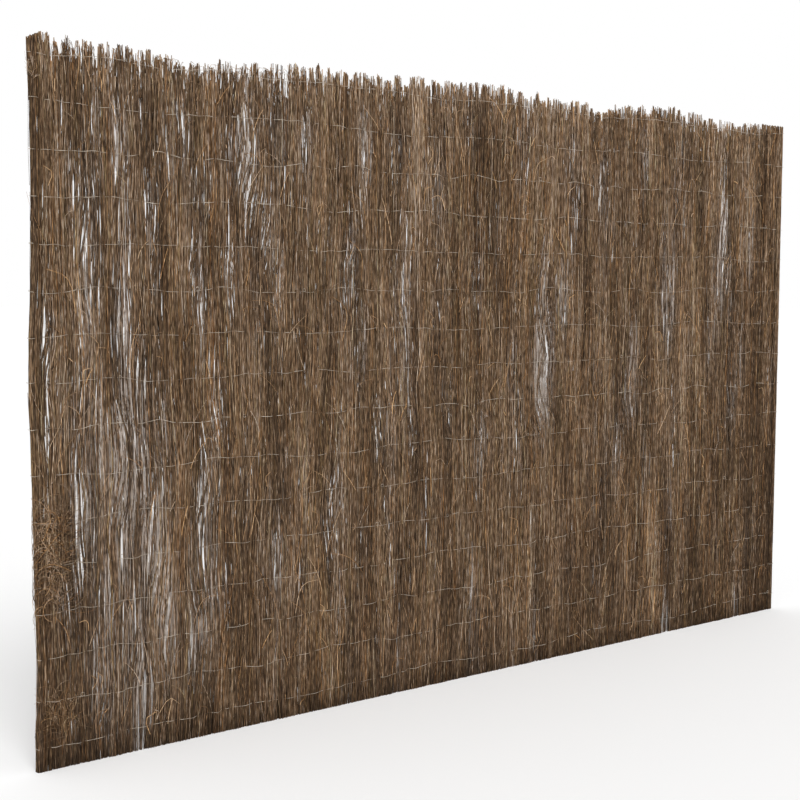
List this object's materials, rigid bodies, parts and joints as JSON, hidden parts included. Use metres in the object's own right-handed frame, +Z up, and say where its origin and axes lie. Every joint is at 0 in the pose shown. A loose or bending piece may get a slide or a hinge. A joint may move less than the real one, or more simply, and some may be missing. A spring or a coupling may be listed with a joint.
{
  "type": "brushwood screen",
  "caption": "Upright mat of thin heather twigs with a ragged top and a straight cut foot, bound by rows of galvanised wire, for tying to a fence as a screen.",
  "frame": {"origin": "middle of the cut bottom edge of the mat, half-way through its thickness", "axes": "+X along the screen to the right as seen from its face, +Z up towards the tips, the face looks along -Y and the side that is tied to a fence along +Y"},
  "size_m": [3, 0.0234, 1.8243],
  "materials": {
    "twigs": "dry bark, matte",
    "wire": "galvanised, weathered dull"
  },
  "bodies": {
    "root": {"brushwood_mat": "twigs", "front_wire_01": "wire", "front_wire_02": "wire", "front_wire_03": "wire", "front_wire_04": "wire", "front_wire_05": "wire", "front_wire_06": "wire", "front_wire_07": "wire", "front_wire_08": "wire", "front_wire_09": "wire", "front_wire_10": "wire", "front_wire_11": "wire", "front_wire_12": "wire", "front_wire_13": "wire", "front_wire_14": "wire", "front_wire_15": "wire", "front_wire_16": "wire", "back_wire_01": "wire", "back_wire_02": "wire", "back_wire_03": "wire", "back_wire_04": "wire", "back_wire_05": "wire", "back_wire_06": "wire", "back_wire_07": "wire", "back_wire_08": "wire", "back_wire_09": "wire", "back_wire_10": "wire", "back_wire_11": "wire", "back_wire_12": "wire", "back_wire_13": "wire", "back_wire_14": "wire", "back_wire_15": "wire", "back_wire_16": "wire"}
  },
  "joints": []
}
